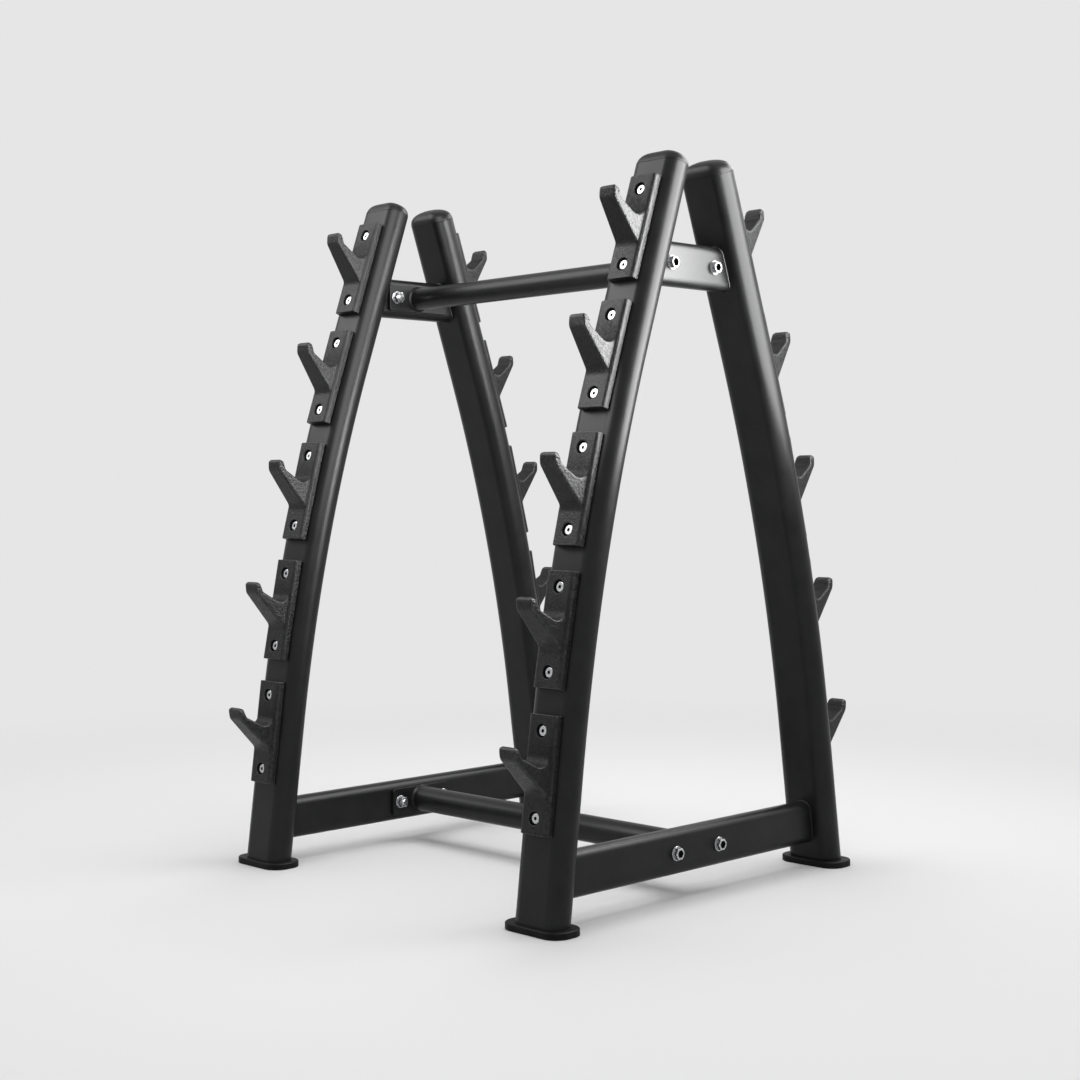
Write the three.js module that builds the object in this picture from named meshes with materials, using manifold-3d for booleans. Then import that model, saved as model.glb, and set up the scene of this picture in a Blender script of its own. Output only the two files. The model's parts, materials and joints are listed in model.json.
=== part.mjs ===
// Barbell storage rack. Two A-shaped end frames stand apart and are tied together by two
// bars, and every upright carries a column of moulded hooks on its outer face.
// Millimetres, +Z up. X runs along the stored barbells, the front faces -Y, and the origin
// is on the floor in the middle of the rack.

import * as THREE from 'three';
import { mergeVertices } from 'three/addons/utils/BufferGeometryUtils.js';
import Module from 'manifold-3d';

const wasm = await Module();
wasm.setup();

// Whole rack
const overallHeight = 1480;
const frameSpacing = 850; // between the middle planes of the two end frames
const topSpread = 139; // between the two tube tops of one frame, centre to centre
const seatGap = 0.3; // room between two pieces that rest on each other

// Uprights: flat-oval tube, straight at the foot, bowed outwards, then straight again
const uprightWidth = 120; // across the flats, along X
const uprightDepth = 60;
const uprightWall = 3;
const footLean = 7.5; // degrees from plumb
const topLean = 18.9;
const footStraight = 300; // along the tube, from the floor to the start of the bow
const bowRadius = 4080;

// End caps and feet, both pushed into the tube
const capRim = 2; // upright edge below the dome
const capRise = 28; // from the rim to the crown of the dome
const crownShare = 0.07; // how much of the outline's size is left at the crown
const plugDepth = 35;
const plugClearance = 0.6;
const footMarginX = 20; // how far the foot plate stands out past the tube
const footMarginY = 12.5;
const footThickness = 11;
const footEdge = 3;

// Cross tubes inside each end frame
const crossHeight = 90;
const crossWidth = 40;
const crossRound = 18;
const crossWall = 3;
const lowerCrossHeight = 94; // centre above the floor
const upperCrossDrop = 221; // centre below the top of the rack

// Tie bars between the frames, with a flange plate welded on each end
const upperBarDiameter = 51;
const lowerBarDiameter = 57;
const barWall = 3;
const flangeHeight = 60;
const flangeThickness = 8;
const flangeRound = 8;
const flangeEdge = 20; // from the bolt centre to the end of the plate

// Through bolts
const boltSpacing = 130;
const boltDiameter = 14;
const boltClearance = 0.5; // around the shank in its holes
const threadGap = 0.3; // between the shank and the nut
const hexAcrossFlats = 22;
const headHeight = 9;
const nutHeight = 12;
const washerDiameter = 29;
const washerThickness = 2.5;
const threadEnd = 4; // shank standing out of the nut

// Hooks
const hookLength = 220;
const hookWidth = 70;
const hookThickness = 17;
const hookEdgeRound = 8; // along the two long front edges
const hookBacking = 3; // spare depth behind the plate, cut away to the bow of the upright
const lowestHook = 176; // lower end of the first hook, along the upright from the floor
const topHookMargin = 39; // from the end of the last hook to the end of the tube
const leastHookGap = 40; // between one hook and the next
const screwSpacing = 160;
const screwHole = 13;
const screwRecess = 25;
const screwRecessDepth = 10;
const insertHole = 12; // in the wall of the upright

// Hook arm, measured out from the back of the plate and up from its lower end
const armRootHeight = 63; // where the fillet under the arm leaves the plate
const armRootRound = 20;
const armSlope = 37.5; // degrees, the underside of the arm
const armReach = 102.5;
const armTop = 158.5;
const armKneeRound = 14;
const armTipLean = 70; // degrees, the outer face of the tip
const tipRound = 7;
const tipThickness = 14;
const lipDrop = 2.5; // the inner lip below the top of the tip
const lipLean = 64; // degrees, the inner face of the tip
const cradleBendRound = 10; // from the inner face of the tip into the cradle
const cradleSlope = 20; // degrees, the top of the arm
const cradleFloor = 125.5;
const cradleBackRound = 20; // from the cradle up to the plate
const armRootWidth = 58;
const armTipWidth = 41;

// How finely the curves are cut into facets
const chordError = 0.7; // most that a facet may stray from its round
const leastSides = 4; // around a full round, however small
const leastFlat = 1; // between two roundings of an outline
const bowSteps = 6;
const ovalSegments = 4;
const domeSteps = 3;
const boreSegments = 3;

const rad = THREE.MathUtils.degToRad;

const powderCoat = { color: 0x2a2b2c, roughness: 0.42, metalness: 0.35 };
const mouldedPlastic = { color: 0x303233, roughness: 0.62, metalness: 0.0 };
const softPlastic = { color: 0x1e1f20, roughness: 0.7, metalness: 0.0 };
const zincPlate = { color: 0xc9ccd0, roughness: 0.28, metalness: 0.95 };

// Between three.js meshes and solids

function solid(geometry) {
  const bare = geometry.clone();
  bare.deleteAttribute('normal');
  bare.deleteAttribute('uv');
  const merged = mergeVertices(bare, 1e-3);
  const vertProperties = new Float32Array(merged.attributes.position.array);
  const triVerts = new Uint32Array(merged.index.array);
  return new wasm.Manifold(new wasm.Mesh({ numProp: 3, vertProperties, triVerts }));
}

function geometryOf(manifold) {
  const mesh = manifold.getMesh();
  const geometry = new THREE.BufferGeometry();
  geometry.setAttribute('position', new THREE.BufferAttribute(mesh.vertProperties, 3));
  geometry.setIndex(new THREE.BufferAttribute(mesh.triVerts, 1));
  geometry.computeVertexNormals();
  return geometry;
}

function named(name, geometry, finish) {
  const mesh = new THREE.Mesh(geometry, new THREE.MeshStandardMaterial(finish));
  mesh.name = name;
  return mesh;
}

// Outlines

function oval(width, depth) {
  const round = depth / 2;
  const middle = width / 2 - round;
  const shape = new THREE.Shape();
  shape.absarc(middle, 0, round, -Math.PI / 2, Math.PI / 2, false);
  shape.absarc(-middle, 0, round, Math.PI / 2, (3 * Math.PI) / 2, false);
  return shape;
}

function roundedRectangle(width, height, round) {
  const r = Math.min(round, (Math.min(width, height) - leastFlat) / 2);
  const x = width / 2 - r;
  const y = height / 2 - r;
  const shape = new THREE.Shape();
  shape.absarc(x, -y, r, -Math.PI / 2, 0, false);
  shape.absarc(x, y, r, 0, Math.PI / 2, false);
  shape.absarc(-x, y, r, Math.PI / 2, Math.PI, false);
  shape.absarc(-x, -y, r, Math.PI, (3 * Math.PI) / 2, false);
  return shape;
}

// The angle that one facet may span on a round of the given radius
function facetAngle(radius) {
  return Math.min(2 * Math.acos(1 - Math.min(chordError / radius, 1)), (2 * Math.PI) / leastSides);
}

// An arc drawn into a shape with only as many points as it needs
function bend(shape, centre, radius, from, to) {
  const steps = Math.ceil(Math.abs(to - from) / facetAngle(radius));
  for (let i = 0; i <= steps; i += 1) {
    const angle = THREE.MathUtils.lerp(from, to, i / steps);
    shape.lineTo(centre.x + radius * Math.cos(angle), centre.y + radius * Math.sin(angle));
  }
}

function prism(shape, depth, curveSegments) {
  return new THREE.ExtrudeGeometry(shape, { depth, bevelEnabled: false, curveSegments });
}

function sidesAround(diameter) {
  return Math.ceil((2 * Math.PI) / facetAngle(diameter / 2));
}

// A round bar along Z, from the given height upwards
function rod(diameter, from, length, sides = sidesAround(diameter)) {
  const geometry = new THREE.CylinderGeometry(diameter / 2, diameter / 2, length, sides);
  return geometry.rotateX(Math.PI / 2).translate(0, 0, from + length / 2);
}

// A round cutter: its facets lie outside the round, so that a pin of that size passes
function drill(diameter, from, length) {
  const sides = sidesAround(diameter);
  return rod(diameter / Math.cos(Math.PI / sides), from, length, sides);
}

// Upright centreline. y is the distance out from the middle plane of the rack.

const lean0 = rad(footLean);
const lean1 = rad(topLean);
const bowEnd = footStraight + bowRadius * (lean1 - lean0);
const crownHeight = Math.hypot(capRise * Math.cos(lean1), (uprightDepth / 2) * Math.sin(lean1));
const tubeTopHeight = overallHeight - (seatGap + capRim) * Math.cos(lean1) - crownHeight;

function leanAt(s) {
  return lean0 + THREE.MathUtils.clamp(s - footStraight, 0, bowEnd - footStraight) / bowRadius;
}

// Height gained and distance moved in, from the floor to the length s along the tube
function rise(s) {
  const lean = leanAt(s);
  const foot = Math.min(s, footStraight);
  const top = Math.max(s - bowEnd, 0);
  return {
    up: foot * Math.cos(lean0) + bowRadius * (Math.sin(lean) - Math.sin(lean0)) + top * Math.cos(lean1),
    inward: foot * Math.sin(lean0) + bowRadius * (Math.cos(lean0) - Math.cos(lean)) + top * Math.sin(lean1),
  };
}

const uprightLength = bowEnd + (tubeTopHeight - rise(bowEnd).up) / Math.cos(lean1);
const footY = topSpread / 2 + rise(uprightLength).inward;

function uprightAt(s) {
  const { up, inward } = rise(s);
  return { y: footY - inward, z: up, lean: leanAt(s) };
}

// Where along the tube its centreline reaches a height
function lengthAtHeight(height) {
  let low = 0;
  let high = uprightLength;
  for (let i = 0; i < 50; i += 1) {
    const middle = (low + high) / 2;
    if (rise(middle).up < height) low = middle;
    else high = middle;
  }
  return low;
}

// The line as a three.js curve on the front side: one step along each straight and the
// rest in the bow, so that the straights cost no facets
class UprightLine extends THREE.Curve {
  constructor(from, to) {
    super();
    this.stops = [from];
    for (let i = 0; i <= bowSteps; i += 1) {
      this.stops.push(footStraight + ((bowEnd - footStraight) * i) / bowSteps);
    }
    this.stops.push(to);
  }

  length(u) {
    const place = u * (this.stops.length - 1);
    const i = Math.min(Math.floor(place), this.stops.length - 2);
    return THREE.MathUtils.lerp(this.stops[i], this.stops[i + 1], place - i);
  }

  getPointAt(u, target = new THREE.Vector3()) {
    const { y, z } = uprightAt(this.length(u));
    return target.set(0, -y, z);
  }

  getTangentAt(u, target = new THREE.Vector3()) {
    const lean = leanAt(this.length(u));
    return target.set(0, Math.sin(lean), Math.cos(lean));
  }
}

function swept(shape, from, to, curveSegments) {
  const extrudePath = new UprightLine(from, to);
  const steps = extrudePath.stops.length - 1;
  return new THREE.ExtrudeGeometry(shape, { steps, extrudePath, curveSegments });
}

// The upright's outer form, grown by a gap, as a cutter for what meets it. With a spread
// its flat faces run on past the sides.
function uprightBlank(gap, spread = 0) {
  const shape = oval(uprightWidth + 2 * gap + spread, uprightDepth + 2 * gap);
  return solid(swept(shape, -uprightDepth, uprightLength, ovalSegments));
}

// Hook places along the upright: as many as fit, spread evenly

const hookSpan = uprightLength - topHookMargin - hookLength - lowestHook;
const tiers = Math.floor(hookSpan / (hookLength + leastHookGap)) + 1;
const hookPitch = hookSpan / Math.max(tiers - 1, 1);

function hookPlace(tier) {
  const { y, z, lean } = uprightAt(lowestHook + hookLength / 2 + tier * hookPitch);
  const out = uprightDepth / 2 + seatGap;
  const position = new THREE.Vector3(0, -y - out * Math.cos(lean), z + out * Math.sin(lean));
  return { position, lean };
}

// Upright tube: a swept shell, cut level on its foot, with the threaded holes of the hooks

function makeUpright() {
  const bore = oval(uprightWidth - 2 * uprightWall, uprightDepth - 2 * uprightWall);
  let tube = uprightBlank(0);
  tube = tube.subtract(solid(swept(bore, -2 * uprightDepth, uprightLength + uprightDepth, boreSegments)));

  const below = new THREE.BoxGeometry(3 * uprightWidth, 6 * uprightDepth, 3 * uprightDepth);
  below.translate(0, -footY, footThickness + seatGap - 1.5 * uprightDepth);
  tube = tube.subtract(solid(below));

  for (let tier = 0; tier < tiers; tier += 1) {
    const { position, lean } = hookPlace(tier);
    for (const side of [-1, 1]) {
      const hole = drill(insertHole, -uprightDepth / 2, uprightDepth);
      hole.rotateX(Math.PI / 2).translate(0, 0, (side * screwSpacing) / 2);
      hole.rotateX(-lean).translate(position.x, position.y, position.z);
      tube = tube.subtract(solid(hole));
    }
  }
  return geometryOf(tube);
}

// Plug shared by caps and feet, along Z, from the given height

function plug(from, length) {
  const inset = 2 * (uprightWall + plugClearance);
  const shape = oval(uprightWidth - inset, uprightDepth - inset);
  return prism(shape, length, boreSegments).translate(0, 0, from);
}

// End cap: a dome over the tube's outline, which shrinks towards the crown as the rings of
// a ball do. Its origin is the end of the tube.

function makeCap() {
  const outline = oval(uprightWidth, uprightDepth);
  const options = { depth: 1, steps: domeSteps, bevelEnabled: false, curveSegments: ovalSegments };
  const dome = new THREE.ExtrudeGeometry(outline, options);
  const place = dome.attributes.position;
  for (let i = 0; i < place.count; i += 1) {
    const angle = place.getZ(i) * Math.acos(crownShare);
    const share = Math.cos(angle);
    place.setXYZ(i, place.getX(i) * share, place.getY(i) * share, capRise * Math.sin(angle));
  }
  const base = seatGap + capRim;
  const rim = solid(prism(outline, capRim, ovalSegments).translate(0, 0, seatGap));
  const cap = rim.add(solid(dome.translate(0, 0, base)));
  return geometryOf(cap.add(solid(plug(-plugDepth, plugDepth + base))));
}

// Foot: a rounded oval plate flat on the floor, with a leaning plug up the tube

function makeFoot() {
  const outline = oval(uprightWidth + 2 * footMarginX, uprightDepth + 2 * footMarginY);
  const plate = new THREE.ExtrudeGeometry(outline, {
    depth: footThickness,
    bevelThickness: footEdge,
    bevelSize: footEdge,
    bevelOffset: -footEdge,
    bevelSegments: 1,
    curveSegments: ovalSegments,
  });
  plate.translate(0, 0, -footEdge);
  const below = new THREE.BoxGeometry(3 * uprightWidth, 3 * uprightWidth, 4 * plugDepth);
  below.translate(0, 0, -2 * plugDepth);
  const leaning = plug(-footThickness, 2 * footThickness + plugDepth).rotateX(-lean0);
  const upper = solid(leaning).subtract(solid(below.clone().translate(0, 0, footThickness / 2)));
  return geometryOf(solid(plate).subtract(solid(below)).add(upper));
}

// Cross tube of an end frame, with both ends coped to the uprights and two bolt holes

function makeCrossTube(height) {
  const { y } = uprightAt(lengthAtHeight(height));
  const across = (shape, half, curveSegments) =>
    solid(prism(shape, 2 * half, curveSegments).rotateX(Math.PI / 2).translate(0, half, height));
  const outline = roundedRectangle(crossWidth, crossHeight, crossRound);
  const hollow = [crossWidth - 2 * crossWall, crossHeight - 2 * crossWall, crossRound - crossWall];
  const front = uprightBlank(seatGap);
  let tube = across(outline, y, 2).subtract(across(roundedRectangle(...hollow), 2 * y, 1));
  tube = tube.subtract(front).subtract(front.rotate([0, 0, 180]));
  for (const side of [-1, 1]) {
    const hole = drill(boltDiameter + 2 * boltClearance, -crossWidth, 2 * crossWidth);
    hole.rotateY(Math.PI / 2).translate(0, (side * boltSpacing) / 2, height);
    tube = tube.subtract(solid(hole));
  }
  return geometryOf(tube);
}

// Flange plate and tie bar, both along X

function makeFlange() {
  const length = boltSpacing + 2 * flangeEdge;
  const plate = prism(roundedRectangle(length, flangeHeight, flangeRound), flangeThickness, 1);
  let flange = solid(plate);
  for (const side of [-1, 1]) {
    const hole = drill(boltDiameter + 2 * boltClearance, -flangeThickness, 3 * flangeThickness);
    flange = flange.subtract(solid(hole.translate((side * boltSpacing) / 2, 0, 0)));
  }
  const geometry = geometryOf(flange);
  return geometry.rotateZ(Math.PI / 2).rotateY(Math.PI / 2);
}

const barHalfLength = frameSpacing / 2 - crossWidth / 2 - flangeThickness - 2 * seatGap;

function makeBar(diameter) {
  const outer = solid(rod(diameter, -barHalfLength, 2 * barHalfLength));
  const bore = rod(diameter - 2 * barWall, -2 * barHalfLength, 4 * barHalfLength);
  return geometryOf(outer.subtract(solid(bore))).rotateY(Math.PI / 2);
}

// Bolt and nut, both along X. The bolt's origin is the outer face of the cross tube and
// its shank runs towards -X; the nut's origin is the face that rests on the flange.

function hexagon(from, length) {
  const radius = hexAcrossFlats / 2 / Math.cos(Math.PI / 6);
  const geometry = new THREE.CylinderGeometry(radius, radius, length, 6);
  return geometry.rotateX(Math.PI / 2).translate(0, 0, from + length / 2);
}

function makeBolt() {
  const through = crossWidth + flangeThickness + washerThickness + nutHeight + threadEnd + 2 * seatGap;
  const washer = solid(rod(washerDiameter, seatGap, washerThickness));
  const head = solid(hexagon(seatGap, washerThickness + headHeight));
  const shank = solid(rod(boltDiameter, -through, through + washerThickness));
  return geometryOf(washer.add(head).add(shank)).rotateY(Math.PI / 2);
}

function makeNut() {
  const washer = solid(rod(washerDiameter, seatGap, washerThickness));
  const hex = solid(hexagon(seatGap, washerThickness + nutHeight));
  const bore = solid(drill(boltDiameter + 2 * threadGap, -nutHeight, 4 * nutHeight));
  return geometryOf(washer.add(hex).subtract(bore)).rotateY(-Math.PI / 2);
}

// Hook. Its origin is the middle of the plate's back, which faces +Y; it stands out
// towards -Y. The arm is drawn in profile and narrows towards its tip. The back follows
// the bow of the upright, as its two screws draw it down.

function heading(angle) {
  return new THREE.Vector2(Math.cos(angle), Math.sin(angle));
}

// Rounds the corner between a line through the point p, which runs at the angle a, and a
// line through q at the angle b
function fillet(shape, p, a, q, b, radius) {
  const reach = q.clone().sub(p).cross(heading(b)) / heading(a).cross(heading(b));
  const start = p.clone().addScaledVector(heading(a), reach - radius * Math.tan((b - a) / 2));
  const centre = start.addScaledVector(heading(a + Math.PI / 2), radius);
  bend(shape, centre, radius, a - Math.PI / 2, b - Math.PI / 2);
}

function armProfile() {
  const slope = rad(armSlope);
  const tipLean = rad(armTipLean);
  const fall = rad(cradleSlope);
  const inside = hookThickness / 2;
  const shape = new THREE.Shape();

  // Fillet under the arm, from the plate's face into the sloping underside
  shape.moveTo(inside, armRootHeight);
  const rootCentre = new THREE.Vector2(hookThickness + armRootRound, armRootHeight);
  bend(shape, rootCentre, armRootRound, Math.PI, Math.PI / 2 + slope);

  // Knee, then the outer face of the tip, whose rounded top corner touches reach and top
  const underside = rootCentre.clone().addScaledVector(heading(Math.PI / 2 + slope), armRootRound);
  const corner = new THREE.Vector2(armReach - tipRound, armTop - tipRound);
  const onTip = corner.clone().addScaledVector(heading(tipLean - Math.PI / 2), tipRound);
  fillet(shape, underside, slope, onTip, tipLean, armKneeRound);
  bend(shape, corner, tipRound, tipLean - Math.PI / 2, Math.PI / 2);

  // Cradle: from the lip down the inner face of the tip, along the arm, up to the plate
  const lip = new THREE.Vector2(armReach - tipThickness, armTop - lipDrop);
  shape.lineTo(lip.x, lip.y);
  const back = new THREE.Vector2(hookThickness + cradleBackRound, cradleFloor + cradleBackRound);
  const onArm = back.clone().addScaledVector(heading(fall - Math.PI / 2), cradleBackRound);
  fillet(shape, lip, rad(lipLean), onArm, fall, cradleBendRound);
  bend(shape, back, cradleBackRound, fall - Math.PI / 2, -Math.PI);
  shape.lineTo(inside, cradleFloor + cradleBackRound);
  return shape;
}

function makeHook({ position, lean }) {
  // Back plate: the section across its width, drawn up its length
  const plan = new THREE.Shape();
  const half = hookWidth / 2;
  const flat = half - hookEdgeRound;
  const turn = hookThickness - hookEdgeRound;
  plan.moveTo(half, -hookBacking);
  bend(plan, { x: flat, y: turn }, hookEdgeRound, 0, Math.PI / 2);
  bend(plan, { x: -flat, y: turn }, hookEdgeRound, Math.PI / 2, Math.PI);
  plan.lineTo(-half, -hookBacking);
  const plate = solid(prism(plan, hookLength, 2));

  // Arm: the profile drawn across the width, then narrowed in step with its reach
  const arm = prism(armProfile(), armRootWidth, 2).translate(0, 0, -armRootWidth / 2);
  const place = arm.attributes.position;
  const taper = (armRootWidth - armTipWidth) / armRootWidth / (armReach - hookThickness);
  for (let i = 0; i < place.count; i += 1) {
    const out = place.getX(i);
    const narrow = 1 - taper * Math.max(out - hookThickness, 0);
    place.setXYZ(i, place.getZ(i) * narrow, out, place.getY(i));
  }
  let hook = plate.add(solid(arm));

  for (const side of [-1, 1]) {
    const hole = drill(screwHole, -hookThickness, 3 * hookThickness);
    const recess = drill(screwRecess, hookThickness - screwRecessDepth, 2 * armReach);
    for (const cutter of [hole, recess]) {
      cutter.rotateX(-Math.PI / 2).translate(0, 0, hookLength / 2 + (side * screwSpacing) / 2);
      hook = hook.subtract(solid(cutter));
    }
  }
  hook = hook.rotate([0, 0, 180]).translate([0, 0, -hookLength / 2]);
  const seat = uprightBlank(seatGap, uprightWidth).translate(position.clone().negate().toArray());
  return geometryOf(hook.subtract(seat.rotate([THREE.MathUtils.radToDeg(lean), 0, 0])));
}

// Assembly

const parts = {
  upright: makeUpright(),
  cap: makeCap(),
  foot: makeFoot(),
  lowerCross: makeCrossTube(lowerCrossHeight),
  upperCross: makeCrossTube(overallHeight - upperCrossDrop),
  flange: makeFlange(),
  bolt: makeBolt(),
  nut: makeNut(),
  hooks: Array.from({ length: tiers }, (_, tier) => makeHook(hookPlace(tier))),
};

// One upright with its cap, foot and hooks, on the front side of its frame
function makeLeg(label) {
  const leg = new THREE.Group();
  leg.add(named(`upright_${label}`, parts.upright, powderCoat));

  const top = uprightAt(uprightLength);
  const cap = named(`cap_${label}`, parts.cap, softPlastic);
  cap.position.set(0, -top.y, top.z);
  cap.rotation.x = -top.lean;
  leg.add(cap);

  const foot = named(`foot_${label}`, parts.foot, softPlastic);
  foot.position.set(0, -footY, 0);
  leg.add(foot);

  for (let tier = 0; tier < tiers; tier += 1) {
    const { position, lean } = hookPlace(tier);
    const hook = named(`hook_${label}_${tier + 1}`, parts.hooks[tier], mouldedPlastic);
    hook.position.copy(position);
    hook.rotation.x = -lean;
    leg.add(hook);
  }
  return leg;
}

// An end frame. It is drawn as the right-hand one, whose outer side faces +X.
function makeFrame(end, sides) {
  const frame = new THREE.Group();
  sides.forEach((side, i) => {
    const leg = makeLeg(`${end}_${side}`);
    leg.rotation.z = i * Math.PI;
    frame.add(leg);
  });

  frame.add(named(`cross_tube_${end}_lower`, parts.lowerCross, powderCoat));
  frame.add(named(`cross_tube_${end}_upper`, parts.upperCross, powderCoat));

  const levels = { lower: lowerCrossHeight, upper: overallHeight - upperCrossDrop };
  for (const [level, height] of Object.entries(levels)) {
    const flange = named(`flange_${end}_${level}`, parts.flange, powderCoat);
    const inner = -crossWidth / 2 - seatGap - flangeThickness;
    flange.position.set(inner, 0, height);
    frame.add(flange);
    sides.forEach((side, i) => {
      const y = (i - 0.5) * boltSpacing;
      const bolt = named(`bolt_${end}_${level}_${side}`, parts.bolt, zincPlate);
      bolt.position.set(crossWidth / 2, y, height);
      const nut = named(`nut_${end}_${level}_${side}`, parts.nut, zincPlate);
      nut.position.set(inner, y, height);
      frame.add(bolt, nut);
    });
  }
  return frame;
}

const rack = new THREE.Group();

const right = makeFrame('right', ['front', 'back']);
right.position.x = frameSpacing / 2;
rack.add(right);

const left = makeFrame('left', ['back', 'front']);
left.position.x = -frameSpacing / 2;
left.rotation.z = Math.PI;
rack.add(left);

const upperBar = named('tie_bar_upper', makeBar(upperBarDiameter), powderCoat);
upperBar.position.z = overallHeight - upperCrossDrop;
const lowerBar = named('tie_bar_lower', makeBar(lowerBarDiameter), powderCoat);
lowerBar.position.z = lowerCrossHeight;
rack.add(upperBar, lowerBar);

export default rack;
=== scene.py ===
# %% [markdown]
# # A storage rack for short barbells
#
# The rack is two A-shaped end frames of bowed steel tube, tied together by two round bars.
# Moulded plastic hooks run down the outer faces of the tubes. Everything is dark, so the
# looks depend on clean round edges, on how the satin coat takes the light, and on the
# small bright screws. Each piece is drawn here with the same tools that a hand would use.

# %% Load the frame
import json
import math

import bmesh
import bpy
from mathutils import Matrix, Vector

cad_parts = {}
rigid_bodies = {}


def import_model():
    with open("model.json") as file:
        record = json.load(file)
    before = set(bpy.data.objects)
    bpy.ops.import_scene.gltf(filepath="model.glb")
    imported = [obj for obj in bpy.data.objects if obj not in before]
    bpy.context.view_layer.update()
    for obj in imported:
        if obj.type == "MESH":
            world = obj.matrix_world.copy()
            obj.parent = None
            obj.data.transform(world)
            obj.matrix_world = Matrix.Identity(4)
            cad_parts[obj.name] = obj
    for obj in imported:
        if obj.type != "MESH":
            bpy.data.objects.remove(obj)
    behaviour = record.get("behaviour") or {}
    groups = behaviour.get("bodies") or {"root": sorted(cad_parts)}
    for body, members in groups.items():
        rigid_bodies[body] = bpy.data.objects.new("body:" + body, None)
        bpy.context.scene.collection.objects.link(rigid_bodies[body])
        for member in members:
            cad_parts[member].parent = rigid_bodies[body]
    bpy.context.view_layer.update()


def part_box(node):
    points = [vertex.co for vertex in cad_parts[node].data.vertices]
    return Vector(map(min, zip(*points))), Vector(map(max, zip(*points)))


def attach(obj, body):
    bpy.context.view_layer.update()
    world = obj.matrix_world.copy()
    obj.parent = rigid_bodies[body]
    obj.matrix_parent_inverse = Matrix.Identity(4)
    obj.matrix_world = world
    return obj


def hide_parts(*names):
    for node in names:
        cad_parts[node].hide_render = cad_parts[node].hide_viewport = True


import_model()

# %% [markdown]
# ## Camera
#
# The photograph was taken a little above the middle of the rack, half way between its
# front and its right end, with a long lens. A camera could be aimed with a constraint,
# but plain turns in the order turn, tip and roll are easier to read and to correct.

# %% Place the camera
camera_place = Vector((2.7403, -2.7005, 0.8134))
camera_turn = math.radians(45.76)
camera_tip = math.radians(0.11)
camera_roll = math.radians(-0.43)

camera = bpy.data.objects.new("Camera", bpy.data.cameras.new("Camera"))
bpy.context.scene.collection.objects.link(camera)
camera.data.sensor_width = 36
camera.data.lens = 58.89
camera.data.shift_x = 0.0111
camera.data.shift_y = -0.05
camera.data.clip_end = 200
camera.matrix_world = (
    Matrix.Translation(camera_place)
    @ Matrix.Rotation(camera_turn, 4, "Z")
    @ Matrix.Rotation(math.pi / 2 + camera_tip, 4, "X")
    @ Matrix.Rotation(camera_roll, 4, "Z")
)
bpy.context.scene.camera = camera
bpy.context.scene.view_settings.view_transform = "Standard"
print("camera distance:", round(camera_place.length, 2), "m")

# %% [markdown]
# ## Shader sums
#
# A finish is a small calculation over the surface: noise times a depth, plus a base value.
# Wiring each Math node by hand hides that, so a socket is wrapped in a class that knows
# plus, minus and times. Writing `0.4 + grain * 0.1` then adds the nodes by itself, and
# one function adds every other kind of node.

# %% Wrap sockets so that they add and multiply
class Value:
    """One number that varies over a surface."""

    def __init__(self, tree, socket):
        self.tree = tree
        self.socket = socket

    def sum(self, operation, first, second):
        return add_node(self.tree, "ShaderNodeMath", {0: first, 1: second}, operation=operation)

    def __add__(self, other):
        return self.sum("ADD", self, other)

    def __sub__(self, other):
        return self.sum("SUBTRACT", self, other)

    def __rsub__(self, other):
        return self.sum("SUBTRACT", other, self)

    def __mul__(self, other):
        return self.sum("MULTIPLY", self, other)

    __radd__ = __add__
    __rmul__ = __mul__

    def beside(self, output):
        """Another output of the same node."""
        return Value(self.tree, self.socket.node.outputs[output])

    def into(self, node, name):
        """Links the value to a socket of a node."""
        self.tree.links.new(self.socket, node.inputs[name])


def add_node(tree, kind, inputs=(), output=0, **settings):
    """Adds a node: its settings first, then the values or links of its sockets."""
    node = tree.nodes.new(kind)
    for name, setting in settings.items():
        setattr(node, name, setting)
    for name, term in dict(inputs).items():
        if isinstance(term, Value):
            term.into(node, name)
        else:
            node.inputs[name].default_value = term
    return Value(tree, node.outputs[output]) if node.outputs else None


def grey(shade):
    return (shade, shade, shade, 1)


# %% [markdown]
# ## Light and background
#
# Dark satin tube shows little of its own colour. What draws it is the bright streak along
# each round edge, and that is the mirror image of a softbox. The room and one softbox
# overhead light the rack and the floor at a plain level. The streaks come from six more
# softboxes that only glossy rays meet, so they can be bright without bleaching the
# colours: a strong and a soft one close to the upper right end, one further out on that
# side, one for the tubes of the left end, and one each from the front left and from
# behind. The pale background is only what camera, glossy and see-through rays meet.

# %% Light the room
background_shade = 0.79
room_shade = 0.62

world = bpy.data.worlds.new("Room")
world.use_nodes = True
bpy.context.scene.world = world
tree = world.node_tree
tree.nodes.clear()


def seen_rays(tree):
    """1 for the rays that show a background: camera, glossy and transmission rays."""
    camera_ray = add_node(tree, "ShaderNodeLightPath", output="Is Camera Ray")
    others = camera_ray.beside("Is Glossy Ray") + camera_ray.beside("Is Transmission Ray")
    return camera_ray + others


glow = room_shade + seen_rays(tree) * (background_shade - room_shade)
back = add_node(tree, "ShaderNodeBackground", {"Color": grey(1), "Strength": glow})
add_node(tree, "ShaderNodeOutputWorld", {"Surface": back})


def softbox(name, place, aim, width, height, brightness, shine_only=True):
    """A square lamp whose face has the given brightness, where 1 is plain white."""
    lamp = bpy.data.objects.new(name, bpy.data.lights.new(name, "AREA"))
    bpy.context.scene.collection.objects.link(lamp)
    lamp.data.shape = "RECTANGLE"
    lamp.data.size = width
    lamp.data.size_y = height
    lamp.data.energy = brightness * math.pi * width * height
    place = Vector(place)
    facing = (Vector(aim) - place).to_track_quat("-Z", "Y").to_matrix().to_4x4()
    lamp.matrix_world = Matrix.Translation(place) @ facing
    lamp.visible_camera = False
    lamp.visible_diffuse = not shine_only
    lamp.visible_glossy = shine_only


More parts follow.
